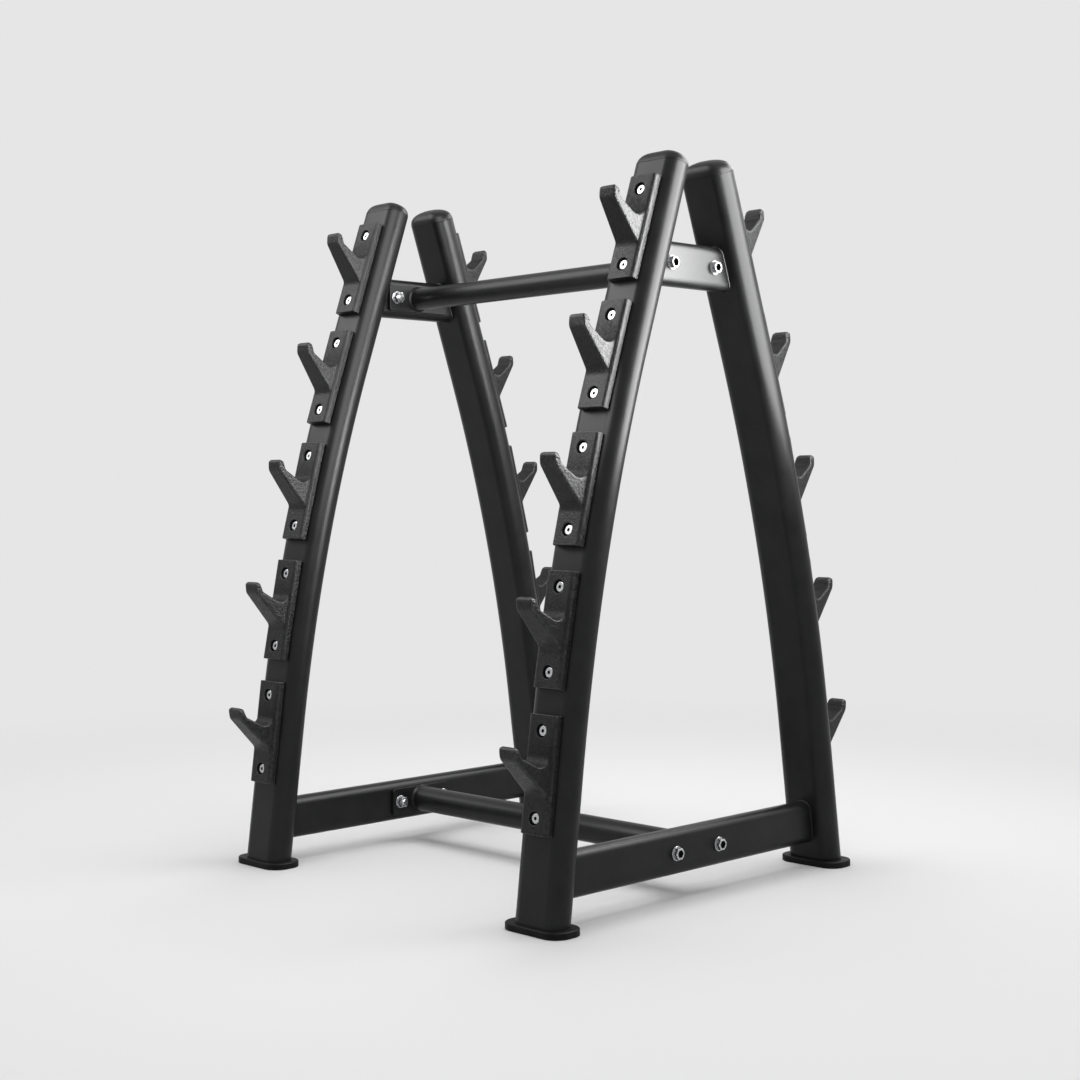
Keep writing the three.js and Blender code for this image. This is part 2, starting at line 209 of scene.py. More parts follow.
softbox("Overhead softbox", (0, 0.3, 3.4), (0, 0, 0), 3.0, 2.4, 3.4, shine_only=False)
softbox("Right streak", (0.8, 0.135, 1.3), (0.4, 0.135, 1.3), 0.57, 0.84, 42)
softbox("Soft right streak", (0.8, 0.135, 1.3), (0.4, 0.135, 1.3), 0.57, 0.84, 26)
softbox("Far right streak", (1.5, 1.3, 1.55), (0.4, 1.3, 1.55), 0.4, 1.3, 12)
softbox("Left streak", (0.12, -0.57, 1.5), (-0.5, -0.25, 1.15), 0.65, 1.1, 8)
softbox("Front streak", (-2.1, -1.75, 2.9), (0, 0, 1.2), 1.5, 2.2, 7)
softbox("Back streak", (0.8, 2.3, 2.8), (0.2, 0, 0.7), 2.6, 1.4, 8)

# %% [markdown]
# The floor is one large plane. Near the rack it takes light and shadow like painted
# concrete. Further out it fades into the background for the same rays as before, so that
# no horizon cuts through the picture.

# %% Lay the floor
floor_size = 60
floor_shade = 0.8
fade_start = 0.9
fade_end = 3.2

bpy.ops.object.select_all(action="DESELECT")
bpy.ops.mesh.primitive_plane_add(size=floor_size)
floor = bpy.context.object
floor.name = "Floor"
paint = bpy.data.materials.new("Pale floor")
paint.use_nodes = True
tree = paint.node_tree
tree.nodes.clear()
spot = add_node(tree, "ShaderNodeTexCoord", output="Object")
reach = add_node(tree, "ShaderNodeVectorMath", {0: spot}, output="Value", operation="LENGTH")
fade = add_node(
    tree, "ShaderNodeMapRange", {"Value": reach, "From Min": fade_start, "From Max": fade_end},
    interpolation_type="SMOOTHSTEP")
lit = add_node(tree, "ShaderNodeBsdfDiffuse", {"Color": grey(floor_shade)})
plain = add_node(tree, "ShaderNodeEmission", {"Color": grey(background_shade)})
mixed = add_node(tree, "ShaderNodeMixShader", {0: fade * seen_rays(tree), 1: lit, 2: plain})
add_node(tree, "ShaderNodeOutputMaterial", {"Surface": mixed})
floor.data.materials.append(paint)
print("floor side:", floor_size, "m")

# %% [markdown]
# ## Finishes
#
# Five finishes cover the rack. Each is a Principled shader with its own grain: the powder
# coat has a faint orange peel, the hooks have the coarse grain of a spark-eroded mould,
# the caps and feet are plainer plastics, and screws and bolts are zinc plate. The grain
# could be painted, but noise on Object coordinates has the right size everywhere and no
# seams. Numbers that the mesh itself carries say where a hook's cradle and a screw's socket
# are painted dark as painted shade, and where a hook's edges are painted pale as wear and
# painted highlight.

# %% Make a finish from noise
def finish_of(name, specular):
    """A Principled material with a plain specular level, and its node tree."""
    material = bpy.data.materials.new(name)
    material.use_nodes = True
    shader = material.node_tree.nodes["Principled BSDF"]
    shader.inputs["Specular IOR Level"].default_value = specular
    return material, material.node_tree, shader


def grain(tree, size, detail=2.0, roughness=0.5):
    """Noise from 0 to 1 whose lumps are about size metres across."""
    place = add_node(tree, "ShaderNodeTexCoord", output="Object")
    settings = {"Vector": place, "Scale": 1 / size, "Detail": detail, "Roughness": roughness}
    return add_node(tree, "ShaderNodeTexNoise", settings)


noise_low, noise_high = 0.3, 0.7


def spread(noise):
    """Noise keeps near its middle, so this spreads it over the whole range."""
    return (noise - noise_low) * (1 / (noise_high - noise_low))


def marked(tree, name):
    """A number that was written on the points or faces of the mesh."""
    return add_node(tree, "ShaderNodeAttribute", output=2, attribute_name=name)


def between(tree, mask, first, second):
    """A colour that runs from first to second with a mask. Several sockets of a Mix node
    have the same name, so the ones for colours go by their numbers."""
    shades = {"Factor": mask, 6: first, 7: second}
    return add_node(tree, "ShaderNodeMix", shades, output=2, data_type="RGBA")


def tint(tree, shader, mask, dark, light):
    """Lets Base Color run from dark to light with a mask."""
    between(tree, mask, (*dark, 1), (*light, 1)).into(shader, "Base Color")


def relief(tree, shader, height, depth, strength=0.5):
    """Raises the surface by up to depth metres."""
    settings = {"Height": height, "Distance": depth, "Strength": strength}
    add_node(tree, "ShaderNodeBump", settings).into(shader, "Normal")


# %% Powder coat
coat, tree, shader = finish_of("Satin black powder coat", specular=0.18)
peel = grain(tree, 0.0011, detail=1.5)
cloud = spread(grain(tree, 0.06, detail=4, roughness=0.6))
tint(tree, shader, cloud, dark=(0.007, 0.0072, 0.0075), light=(0.0125, 0.0129, 0.0134))
(0.31 + cloud * 0.05 + peel * 0.05).into(shader, "Roughness")
relief(tree, shader, peel, depth=0.00004)

# %% Moulded hook plastic
hook_plastic, tree, shader = finish_of("Grained hook plastic", specular=0.18)
pits = grain(tree, 0.0045, detail=3, roughness=0.6)
patches = spread(grain(tree, 0.006, detail=3, roughness=0.6))
rubbed = marked(tree, "rubbed")
worn = marked(tree, "worn")
# Painted shade: the cradle is painted black where its mark is high, and made duller there.
paleness = (patches * 0.16 + worn * (0.2 + patches * 0.5)) * (1 - rubbed)
tint(tree, shader, paleness, dark=(0.004, 0.0042, 0.0045), light=(0.08, 0.0815, 0.083))
(0.25 + patches * 0.26 + rubbed * 0.2).into(shader, "Roughness")
relief(tree, shader, pits, depth=0.0012, strength=1.0)

# %% End cap plastic
cap_plastic, tree, shader = finish_of("Satin cap plastic", specular=0.18)
pits = grain(tree, 0.0012)
cloud = spread(grain(tree, 0.03, detail=4))
tint(tree, shader, cloud, dark=(0.008, 0.0082, 0.0085), light=(0.014, 0.0144, 0.0148))
(0.35 + cloud * 0.08).into(shader, "Roughness")
relief(tree, shader, pits, depth=0.00008)

# %% Foot rubber
foot_rubber, tree, shader = finish_of("Black foot rubber", specular=0.1)
pits = grain(tree, 0.0016, detail=3)
cloud = spread(grain(tree, 0.025, detail=4))
tint(tree, shader, cloud, dark=(0.003, 0.003, 0.0033), light=(0.009, 0.009, 0.0092))
(0.44 + cloud * 0.12).into(shader, "Roughness")
relief(tree, shader, pits, depth=0.00012)

# %% [markdown]
# The screws and bolts are plated bright. Their sockets are painted black as painted shade,
# with no metal's shine and a rougher surface.

# %% Zinc plate
zinc, tree, shader = finish_of("Bright zinc plate", specular=0.02)
spangle = spread(grain(tree, 0.003, detail=4, roughness=0.6))
fine = grain(tree, 0.0008)
greased = marked(tree, "greased")
plating = between(tree, spangle, (0.34, 0.345, 0.36, 1), (0.6, 0.605, 0.615, 1))
# Painted shade: the socket faces are painted near black, with no metal's shine.
between(tree, greased, plating, grey(0.012)).into(shader, "Base Color")
(1 - greased).into(shader, "Metallic")
(0.2 + spangle * 0.12 + greased * 0.3).into(shader, "Roughness")
relief(tree, shader, fine, depth=0.00002)

finishes = {
    "powder_coat": coat, "hook_plastic": hook_plastic, "end_cap": cap_plastic,
    "foot": foot_rubber, "zinc_plate": zinc}
print("finishes:", ", ".join(material.name for material in finishes.values()))

# %% [markdown]
# ## Working by hand
#
# An operator acts on whatever is selected. So a piece is always picked alone first, and
# inside it faces, edges or corners are picked by where they lie or which way they face.

# %% Pick things
parallel = 0.99
touching = 1e-5


def only(piece):
    """Makes one piece the only one selected."""
    bpy.ops.object.select_all(action="DESELECT")
    piece.select_set(True)
    bpy.context.view_layer.objects.active = piece


def pick(kind, test):
    """In edit mode, selects those of the piece's verts, edges or faces that pass the test."""
    bpy.ops.mesh.select_mode(type={"verts": "VERT", "edges": "EDGE", "faces": "FACE"}[kind])
    bpy.ops.mesh.select_all(action="DESELECT")
    mesh = bmesh.from_edit_mesh(bpy.context.object.data)
    for part in getattr(mesh, kind):
        if test(part):
            part.select_set(True)
    mesh.select_flush_mode()
    bmesh.update_edit_mesh(bpy.context.object.data)


def edge_runs(direction, where=lambda middle: True):
    """A test for edges that run along a direction and whose middle passes where."""
    way = Vector(direction).normalized()

    def test(edge):
        first, second = (corner.co for corner in edge.verts)
        along = abs((second - first).normalized().dot(way)) > parallel
        return along and where((first + second) / 2)
    return test


def edge_at_height(height):
    """A test for edges that lie at a height."""
    return lambda edge: all(abs(corner.co.z - height) < touching for corner in edge.verts)


# %% [markdown]
# The same few steps begin and end the work on most pieces, so each gets a short name:
# starting from a block, rounding off the edges that are picked, turning the faces
# outwards, and putting a piece's place, turn and size into its mesh.

# %% Shape and finish a piece
def settle():
    """Puts the place, turn and size of the active piece into its mesh."""
    bpy.ops.object.transform_apply(location=True, rotation=True, scale=True)


def block(name, middle, size):
    """A block of the given size, left in edit mode."""
    bpy.ops.object.select_all(action="DESELECT")
    bpy.ops.mesh.primitive_cube_add(size=1, location=middle, scale=size)
    piece = bpy.context.object
    piece.name = name
    settle()
    bpy.ops.object.mode_set(mode="EDIT")
    return piece


def extrude(offset):
    bpy.ops.mesh.extrude_region_move(TRANSFORM_OT_translate={"value": offset})


def round_off(offset, segments):
    """Rounds off the edges that are picked."""
    bpy.ops.mesh.bevel(offset=offset, segments=segments, affect="EDGES")


def finish_editing():
    """Turns all faces outwards and leaves edit mode."""
    bpy.ops.mesh.select_all(action="SELECT")
    bpy.ops.mesh.normals_make_consistent(inside=False)
    bpy.ops.object.mode_set(mode="OBJECT")


def modify(piece, kind, **settings):
    """Adds a modifier and applies it."""
    only(piece)
    modifier = piece.modifiers.new(kind.title(), kind)
    for name, setting in settings.items():
        setattr(modifier, name, setting)
    bpy.ops.object.modifier_apply(modifier=modifier.name)


def shade(piece, angle=32):
    """Smooth shading that keeps real edges crisp and flat faces flat."""
    only(piece)
    bpy.ops.object.shade_smooth_by_angle(angle=math.radians(angle))
    modify(piece, "WEIGHTED_NORMAL", keep_sharp=True)


# %% [markdown]
# Most pieces appear two, four or twenty times. Each is modelled once, at the front of the
# right end, and then duplicated and turned to its other places. The rack looks the same
# after half a turn, and so does each end frame, so turns are all that is needed.

# %% Copy a piece to its other places
ends = ("right", "left")
sides = ("front", "back")
legs = [(end, side) for end in ends for side in sides]
frame_x, foot_y, _ = sum(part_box("foot_right_front"), Vector()) / 2
half_turn = Matrix.Rotation(math.pi, 4, "Z")
end_turn = {"right": Matrix.Identity(4), "left": half_turn}


def turn_to(end, side):
    """The turn that takes the right front leg to another leg."""
    turn = Matrix.Identity(4)
    if (end == "right") == (side == "back"):
        shift = Matrix.Translation((frame_x, 0, 0))
        turn = shift @ half_turn @ shift.inverted()
    return end_turn[end] @ turn


def put_copy(master, name, place, slot, *nodes):
    """Puts a copy with its own mesh in its place for good and gives it its finish. It rides
    on the rack's one body and stands for the CAD nodes that are named."""
    only(master)
    bpy.ops.object.duplicate(linked=False)
    piece = bpy.context.object
    piece.name = name
    piece.matrix_world = place
    settle()
    piece.data.materials.clear()
    piece.data.materials.append(finishes[slot])
    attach(piece, "root")
    if nodes:
        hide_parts(*nodes)


def discard(*pieces):
    """Removes the masters that the copies were made from."""
    for piece in pieces:
        bpy.data.objects.remove(piece)


for end, side in legs:
    foot = turn_to(end, side) @ Vector((frame_x, foot_y, 0))
    print(end, side, "foot at", [round(n, 3) for n in foot])

# %% [markdown]
# ## The line of an upright
#
# Seen from the end, an upright leaves the floor at a steep lean, runs straight for a
# while, bows inwards on a very large radius and ends straight again. Everything on it, its
# cap, its hooks and their screws, is placed by its distance along this line.

# %% Follow the upright
tube_width = 0.120
tube_depth = 0.060
foot_lean = math.radians(7.5)
top_lean = math.radians(18.9)
foot_straight = 0.300
bow_radius = 4.080
top_spread = 0.139
seat_gap = 0.0003

bow_end = foot_straight + bow_radius * (top_lean - foot_lean)
bow_inward = foot_straight * math.sin(foot_lean)
bow_inward += bow_radius * (math.cos(foot_lean) - math.cos(top_lean))
tube_length = bow_end + (-foot_y - top_spread / 2 - bow_inward) / math.sin(top_lean)


def line_at(length):
    """Where the front upright's centreline is at a distance from the floor, and its lean."""
    bowed = min(max(length, foot_straight), bow_end)
    lean = foot_lean + (bowed - foot_straight) / bow_radius
    below = min(length, foot_straight)
    above = max(length - bow_end, 0)
    up = below * math.cos(foot_lean) + above * math.cos(top_lean)
    inward = below * math.sin(foot_lean) + above * math.sin(top_lean)
    up += bow_radius * (math.sin(lean) - math.sin(foot_lean))
    inward += bow_radius * (math.cos(foot_lean) - math.cos(lean))
    return Vector((frame_x, foot_y + inward, up)), lean


def on_line(length, out=0.0):
    """The place of a piece that leans with the upright, moved out of its centreline."""
    place, lean = line_at(length)
    outwards = Vector((0, -math.cos(lean), math.sin(lean)))
    return Matrix.Translation(place + outwards * out) @ Matrix.Rotation(-lean, 4, "X")


tube_top = line_at(tube_length)[0]
print("tube length:", round(tube_length, 4), "m, top at", [round(n, 4) for n in tube_top])

# %% [markdown]
# ## Uprights
#
# The tube's section is a flat oval: two half rounds joined by flats. A circle is added,
# turned half a step so that no corner lies on its middle line, and its halves are drawn
# apart. Extruding it gives the straights, and Spin gives the bow about its far-off centre.
# Spin counts its angle clockwise, seen along the axis. A plane then cuts the foot level,
# where it stands on its plate.

# %% Draw a flat oval
round_steps = 64


def oval(name, width, depth):
    """A flat-oval loop of edges around the origin, left in edit mode and all selected."""
    bpy.ops.object.select_all(action="DESELECT")
    bpy.ops.mesh.primitive_circle_add(vertices=round_steps, radius=depth / 2)
    piece = bpy.context.object
    piece.name = name
    piece.rotation_euler.z = math.pi / round_steps
    settle()
    bpy.ops.object.mode_set(mode="EDIT")
    for side in (-1, 1):
        pick("verts", lambda corner: corner.co.x * side > 0)
        bpy.ops.transform.translate(value=(side * (width - depth) / 2, 0, 0))
    bpy.ops.mesh.select_all(action="SELECT")
    return piece


# %% Sweep the tube
bow_steps = 36
foot_thickness = 0.0135
tube_edge = 0.0005

upright = oval("upright master", tube_width, tube_depth)
bpy.ops.object.mode_set(mode="OBJECT")
upright.matrix_world = on_line(-tube_depth)
settle()
bpy.ops.object.mode_set(mode="EDIT")
bpy.ops.mesh.select_all(action="SELECT")
extrude(line_at(foot_straight)[0] - line_at(-tube_depth)[0])
bow_start, lean = line_at(foot_straight)
bow_centre = bow_start + bow_radius * Vector((0, math.cos(lean), -math.sin(lean)))
bpy.ops.mesh.spin(steps=bow_steps, angle=top_lean - foot_lean, center=bow_centre, axis=(1, 0, 0))
extrude(line_at(tube_length)[0] - line_at(bow_end)[0])
bpy.ops.mesh.edge_face_add()
bpy.ops.mesh.select_mode(type="EDGE")
round_off(tube_edge, segments=2)
bpy.ops.mesh.select_all(action="SELECT")
level = foot_thickness + seat_gap
bpy.ops.mesh.bisect(plane_co=(0, 0, level), plane_no=(0, 0, 1), use_fill=True, clear_inner=True)
finish_editing()
shade(upright)

for end, side in legs:
    put_copy(upright, f"tube_{end}_{side}", turn_to(end, side),
             "powder_coat", f"upright_{end}_{side}")
print("upright faces:", len(upright.data.polygons), [round(n, 4) for n in upright.dimensions])
discard(upright)

# %% [markdown]
# ## Caps and feet
#
# A cap closes each tube with a pillow dome that runs out of the tube's own outline. The
# oval is filled and raised ring by ring, and each ring shrinks as the rings of a ball do.
# A dome of scaled rings has a crease where the flats meet the half rounds, so the rings
# are then relaxed a little, as a moulding is. A foot is a wider plate with rounded corners
# and a soft upper edge.

# %% Model the cap
cap_rim = 0.002
cap_rise = 0.0267
fullness = 0.86
dome_rings = 16
flat_cuts = 19
soft_from = 0.003
cap_softening = 10

cap = oval("cap master", tube_width, tube_depth)
pick("edges", lambda edge: edge.calc_length() > tube_depth / 2)
bpy.ops.mesh.subdivide(number_cuts=flat_cuts)
bpy.ops.mesh.select_all(action="SELECT")
bpy.ops.mesh.edge_face_add()
extrude((0, 0, cap_rim))
height, share = 0.0, 1.0
for ring in range(1, dome_rings + 1):
    angle = math.pi / 2 * ring / (dome_rings + 1)
    next_height = cap_rise * math.sin(angle) ** fullness
    next_share = math.cos(angle) ** fullness
    extrude((0, 0, next_height - height))
    ratio = next_share / share
    bpy.ops.transform.resize(value=(ratio, ratio, 1), center_override=(0, 0, next_height))
    height, share = next_height, next_share
pick("verts", lambda corner: corner.co.z > cap_rim + soft_from)
bpy.ops.mesh.vertices_smooth(factor=0.5, repeat=cap_softening)
pick("edges", edge_at_height(0))
round_off(tube_edge, segments=2)
finish_editing()
shade(cap)

# %% Model the foot
foot_width = 0.154
foot_depth = 0.082
foot_corner = 0.034
foot_round = 0.003
foot_under_round = 0.0012

foot = block("foot master", (0, 0, foot_thickness / 2), (foot_width, foot_depth, foot_thickness))
pick("edges", edge_runs((0, 0, 1)))
round_off(foot_corner, segments=14)
pick("edges", edge_at_height(foot_thickness))
round_off(foot_round, segments=6)
pick("edges", edge_at_height(0))
round_off(foot_under_round, segments=2)
finish_editing()
shade(foot)

# %% Place caps and feet
cap_place = on_line(tube_length) @ Matrix.Translation((0, 0, seat_gap))
foot_place = Matrix.Translation((frame_x, foot_y, 0))
for end, side in legs:
    turn = turn_to(end, side)
    put_copy(cap, f"domed_cap_{end}_{side}", turn @ cap_place, "end_cap", f"cap_{end}_{side}")
    put_copy(foot, f"foot_plate_{end}_{side}", turn @ foot_place, "foot", f"foot_{end}_{side}")
print("cap faces:", len(cap.data.polygons), "foot faces:", len(foot.data.polygons))
discard(cap, foot)

# %% [markdown]
# ## Cross tubes and their welds
#
# Two rectangular tubes with well rounded edges hold the uprights of an end frame apart.
# Their ends are cut to the lean of the tube that they meet and welded all round. The weld
# is a bead of a few millimetres, ground and coated over. It is made from the outline of
# the cut end itself, turned into a curve and given a round section.

# %% Model a cross tube
cross_width = 0.040
cross_height = 0.090
cross_round = 0.018
weld_radius = 0.0023
halvings = 40


def length_at_height(height):
    """How far up the line the upright reaches a height, found by halving."""
    low, high = 0.0, tube_length
    for _ in range(halvings):
        middle = (low + high) / 2
        if line_at(middle)[0].z < height:
            low = middle
        else:
            high = middle
    return low


def cross_tube(name, height):
    """A rounded tube from upright to upright, its ends cut to the lean."""
    place, lean = line_at(length_at_height(height))
    tube = block(name, (frame_x, 0, height), (cross_width, -2 * place.y, cross_height))
    pick("edges", edge_runs((0, 1, 0)))
    round_off(cross_round, segments=10)
    for side in (-1, 1):
        inwards = Vector((0, -side * math.cos(lean), -math.sin(lean)))
        wall = Vector((frame_x, side * -place.y, height)) + inwards * (tube_depth / 2 + seat_gap)
        bpy.ops.mesh.select_all(action="SELECT")
        bpy.ops.mesh.bisect(plane_co=wall, plane_no=inwards, use_fill=True, clear_inner=True)
    finish_editing()
    return tube


def weld_beads(name, tube):
    """A bead round each cut end of a cross tube, as one piece."""
    only(tube)
    bpy.ops.object.duplicate(linked=False)
    bead = bpy.context.object
    bead.name = name
    bpy.ops.object.mode_set(mode="EDIT")
    pick("faces", lambda face: abs(face.normal.y) < 1 - parallel)
    bpy.ops.mesh.delete(type="ONLY_FACE")
    pick("edges", edge_runs((0, 1, 0)))
    bpy.ops.mesh.delete(type="EDGE")
    bpy.ops.mesh.select_all(action="SELECT")
    bpy.ops.mesh.delete(type="ONLY_FACE")
    bpy.ops.object.mode_set(mode="OBJECT")
    bpy.ops.object.convert(target="CURVE")
    bead = bpy.context.object
    bead.data.bevel_depth = weld_radius
    bead.data.bevel_resolution = 3
    bpy.ops.object.convert(target="MESH")
    bead = bpy.context.object
    bpy.ops.object.mode_set(mode="EDIT")
    finish_editing()
    shade(bead, angle=60)
    return bead


# %% Place the cross tubes
levels = ("lower", "upper")
level_height = {
    level: sum(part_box(f"cross_tube_right_{level}"), Vector()).z / 2 for level in levels}
for level in levels:
    tube = cross_tube(f"cross {level} master", level_height[level])
    beads = weld_beads(f"beads {level} master", tube)
    shade(tube)
    for end in ends:
        put_copy(tube, f"frame_tube_{end}_{level}", end_turn[end],
                 "powder_coat", f"cross_tube_{end}_{level}")
        put_copy(beads, f"weld_{end}_{level}", end_turn[end], "powder_coat")
    print(level, "cross tube", [round(n, 3) for n in tube.dimensions])
    print("bead faces:", len(beads.data.polygons))
    discard(tube, beads)

# %% [markdown]
# ## Turned pieces
#
# Bars, washers, screws and the chamfers of nuts are all round. Such a piece is built ring
# by ring: a filled circle is extruded, and each new ring is scaled about the axis. A list
# of heights and radii is then a drawing of the piece.

# %% Build a round piece ring by ring
def turned(name, rings, sides=48):
    """A closed round piece along Z through the given heights and radii."""
    bpy.ops.object.select_all(action="DESELECT")
    (height, radius), *others = rings
    bpy.ops.mesh.primitive_circle_add(
        vertices=sides, radius=radius, location=(0, 0, height), fill_type="NGON")
    piece = bpy.context.object
    piece.name = name
    settle()
    bpy.ops.object.mode_set(mode="EDIT")
    bpy.ops.mesh.select_all(action="SELECT")
    for next_height, next_radius in others:
        extrude((0, 0, next_height - height))
        scale = next_radius / radius
        bpy.ops.transform.resize(value=(scale, scale, 1), center_override=(0, 0, next_height))
        height, radius = next_height, next_radius
    finish_editing()
    return piece


def joined(name, *pieces):
    """Several pieces as one object."""
    only(pieces[0])
    for piece in pieces:
        piece.select_set(True)
    bpy.ops.object.join()
    bpy.context.object.name = name
    return bpy.context.object


along_x = Matrix.Rotation(math.pi / 2, 4, "Y")

# %% [markdown]
# ## Tie bars and flange plates
#
# A tie bar is a round tube with a plate welded on each end. The weld shows as a small
# flare where the tube meets the plate, so the bar's rings start wide and close in over a
# few millimetres. The flare is a list of distances from the plate, and of how far the weld
# stands out of the tube there.

# %% Model the bars
bar_radius = {"lower": 0.0285, "upper": 0.0255}
flange_thickness = 0.008
bar_half = frame_x - cross_width / 2 - flange_thickness - 2 * seat_gap
flare = ((0.0, 0.0038), (0.0012, 0.0034), (0.0026, 0.0020), (0.0040, 0.0008), (0.0052, 0.0))

for level in levels:
    near = [(-bar_half + along, bar_radius[level] + out) for along, out in flare]
    far = [(-along, radius) for along, radius in reversed(near)]
    bar = turned("bar master", near + far, sides=72)
    shade(bar)
    place = Matrix.Translation((0, 0, level_height[level])) @ along_x
    put_copy(bar, f"bar_{level}", place, "powder_coat", f"tie_bar_{level}")
    discard(bar)
    print(level, "bar length", round(2 * bar_half, 4))

# %% Model the flange plate
flange_length = 0.170
flange_height = 0.060
flange_round = 0.008
flange_edge = 0.0009
flange_middle = frame_x - cross_width / 2 - seat_gap - flange_thickness / 2

flange = block("flange master", (0, 0, 0), (flange_thickness, flange_length, flange_height))
pick("edges", edge_runs((1, 0, 0)))
round_off(flange_round, segments=8)
pick("faces", lambda face: abs(face.normal.x) > parallel)
bpy.ops.mesh.region_to_loop()
round_off(flange_edge, segments=3)
finish_editing()
shade(flange)
for level in levels:
    for end in ends:
        place = Matrix.Translation((flange_middle, 0, level_height[level]))
        put_copy(flange, f"plate_{end}_{level}", end_turn[end] @ place,
                 "powder_coat", f"flange_{end}_{level}")
print("flange plate", [round(n, 3) for n in flange.dimensions])
discard(flange)

# %% [markdown]
# ## Bolts and nuts
#
# Each plate is held by two hexagon bolts with washers. A hexagon looks real only with its
# chamfer, the curved line where the corners were turned down. That line is the crossing of
# the hexagon with a cone, so the head is a six-sided prism intersected with a turned blank.

# %% Cut hexagons
across_flats = 0.022
corner_radius = across_flats / 2 / math.cos(math.pi / 6)
blank_radius = corner_radius * 1.02
chamfer = 0.0013
chamfer_radius = across_flats / 2 - 0.0004
socket_shade_gap = 0.0003


def cut(piece, tool, operation):
    """Cuts a piece with another one, which is used up."""
    modify(piece, "BOOLEAN", object=tool, operation=operation, solver="EXACT")
    discard(tool)


def mark_socket_shade(piece, reach, top):
    """Marks the faces within reach of the Z axis, from a third of the top to just below it, for
    painted shade in the socket.
    """
    greased = piece.data.attributes.new("greased", "FLOAT", "FACE")
    for face, value in zip(piece.data.polygons, greased.data):
        middle = face.center
        in_socket = top / 3 < middle.z < top - socket_shade_gap
        value.value = float(in_socket and math.hypot(middle.x, middle.y) < reach)
    print(piece.name, "greased faces:", sum(value.value > 0 for value in greased.data))


def hexagon(name, low, high, chamfers):
    """A six-sided prism from low to high, with its corners turned down at those heights."""
    prism = turned(name, [(low, corner_radius), (high, corner_radius)], sides=6)
    rings = [(low, blank_radius), (high, blank_radius)]
    if low in chamfers:
        rings = [(low, chamfer_radius), (low + chamfer, blank_radius), rings[1]]
    if high in chamfers:
        rings = rings[:-1] + [(high - chamfer, blank_radius), (high, chamfer_radius)]
    cut(prism, turned("blank", rings, sides=72), "INTERSECT")
    return prism


# %% Model the bolt
bolt_radius = 0.007
washer_radius = 0.0145
washer_thickness = 0.0025
head_height = 0.009
nut_height = 0.012
thread_end = 0.004
bolt_socket = 0.0084
bolt_socket_depth = 0.006
bolt_spacing = 0.130
washer_edge = 0.0004
thread_pitch = 0.002
thread_depth = 0.0009
thread_turns = 4
point_depth = 0.0016
point_length = 0.001
crisp = 25


def washer(low):
    top = low + washer_thickness
    inner = washer_radius - washer_edge
    return turned("washer", [
        (low, inner), (low + washer_edge, washer_radius),
        (top - washer_edge, washer_radius), (top, inner)])


head_low = seat_gap + washer_thickness
head_high = head_low + head_height
head = hexagon("head", head_low, head_high, (head_high,))
bit_rings = [(head_high - bolt_socket_depth, bolt_socket), (head_high + chamfer, bolt_socket)]
cut(head, turned("socket bit", bit_rings, sides=6), "DIFFERENCE")

through = cross_width + flange_thickness + washer_thickness + nut_height + thread_end
through += 2 * seat_gap
thread_root = bolt_radius - thread_depth
shank_rings = [(-through, bolt_radius - point_depth), (-through + point_length, thread_root)]
for turn in range(thread_turns):
    low = -through + point_length + turn * thread_pitch
    shank_rings += [(low + thread_pitch / 2, bolt_radius), (low + thread_pitch, thread_root)]
shank_rings += [(shank_rings[-1][0] + thread_pitch / 2, bolt_radius), (head_low, bolt_radius)]
bolt = joined("bolt master", head, washer(seat_gap), turned("shank", shank_rings, sides=32))
shade(bolt, crisp)
mark_socket_shade(bolt, bolt_socket, head_high)

# %% Model the nut
nut_low = seat_gap + washer_thickness
nut_high = nut_low + nut_height
overshoot = 0.001
bore_radius = bolt_radius + seat_gap
bore_mouth = bolt_radius + 0.0022
washer_bit = 0.01

nut = hexagon("nut", nut_low, nut_high, (nut_low, nut_high))
bore_rings = [
    (nut_low - overshoot, bore_radius), (nut_high - overshoot, bore_radius),
    (nut_high + overshoot, bore_mouth)]
cut(nut, turned("bore", bore_rings, sides=32), "DIFFERENCE")
ring = washer(seat_gap)
hole = turned("hole", [(0, bore_radius), (washer_bit, bore_radius)], sides=32)
cut(ring, hole, "DIFFERENCE")
nut = joined("nut master", nut, ring)
shade(nut, crisp)

# %% Place the bolts and nuts
outer_x = frame_x + cross_width / 2
inner_x = flange_middle - flange_thickness / 2
for level in levels:
    for end, side in legs:
        # A left bolt comes from the right end by half a turn, which swaps front and back
        y = bolt_spacing / 2 * (-1 if (end == "right") == (side == "front") else 1)
        outer = Matrix.Translation((outer_x, y, level_height[level])) @ along_x
        inner = Matrix.Translation((inner_x, y, level_height[level])) @ along_x.inverted()
        spot = f"{end}_{level}_{side}"
        put_copy(bolt, f"hex_bolt_{spot}", end_turn[end] @ outer, "zinc_plate", f"bolt_{spot}")
        put_copy(nut, f"hex_nut_{spot}", end_turn[end] @ inner, "zinc_plate", f"nut_{spot}")
print("bolt faces:", len(bolt.data.polygons), "nut faces:", len(nut.data.polygons))
discard(bolt, nut)

# %% [markdown]
# ## Hooks
#
# The hook is the piece that takes the most care. A thick plate with rounded long edges
# carries an arm that leaves it in a soft fillet, climbs outwards, and turns up into a tip,
# and the cradle for the bar lies between the tip and the plate. The arm is drawn from the
# side and again from above with straight runs and arcs, as a pattern maker would, and the
# two shapes are intersected. Plate and arm are then fused by a fine voxel remesh, because
# that is what moulding does to an edge: every inner corner fills a little and every outer
# one is softened.

# %% A pencil that draws straight runs and arcs
arc_step = 0.0015


def heading(angle):
    return Vector((math.cos(angle), math.sin(angle)))


